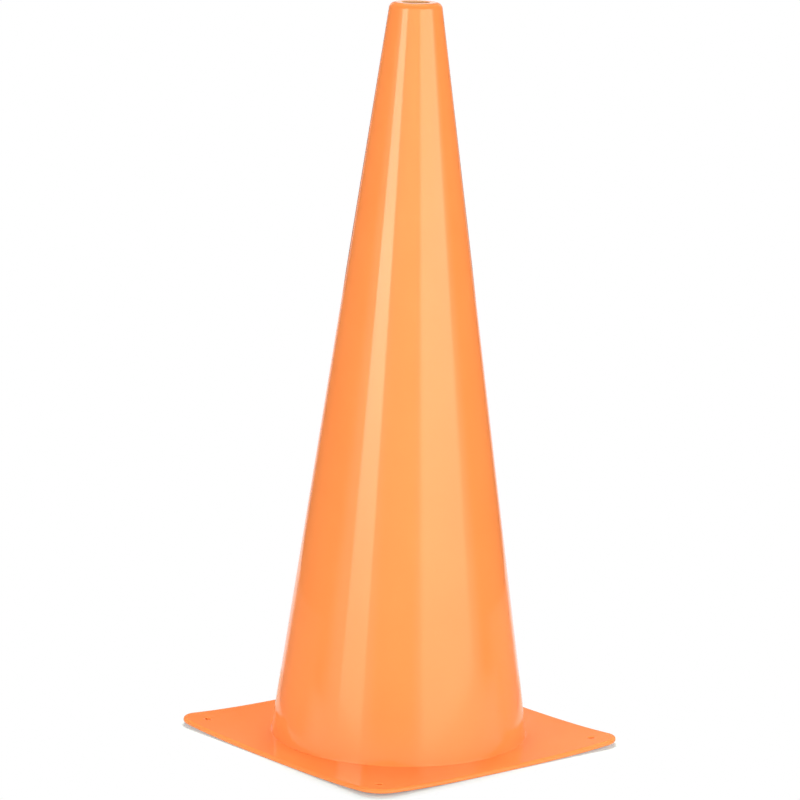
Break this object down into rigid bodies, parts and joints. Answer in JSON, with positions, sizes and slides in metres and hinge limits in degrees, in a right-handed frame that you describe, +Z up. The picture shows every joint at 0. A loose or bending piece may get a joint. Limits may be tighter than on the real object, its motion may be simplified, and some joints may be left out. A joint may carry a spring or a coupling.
{
  "type": "sports marker cone",
  "caption": "Tall hollow marker cone with a pierced flat top, standing in a square base plate with rounded, slightly lifted corners.",
  "frame": {"origin": "centre of the underside, on the floor at the cone's axis", "axes": "+Z up along the cone's axis, X and Y along the sides of the base plate"},
  "size_m": [0.2, 0.2, 0.4572],
  "materials": {
    "orange_plastic": "glossy moulded fluorescent orange, faintly translucent"
  },
  "bodies": {
    "root": {"cone_body": "orange_plastic", "base_plate": "orange_plastic"}
  },
  "joints": []
}
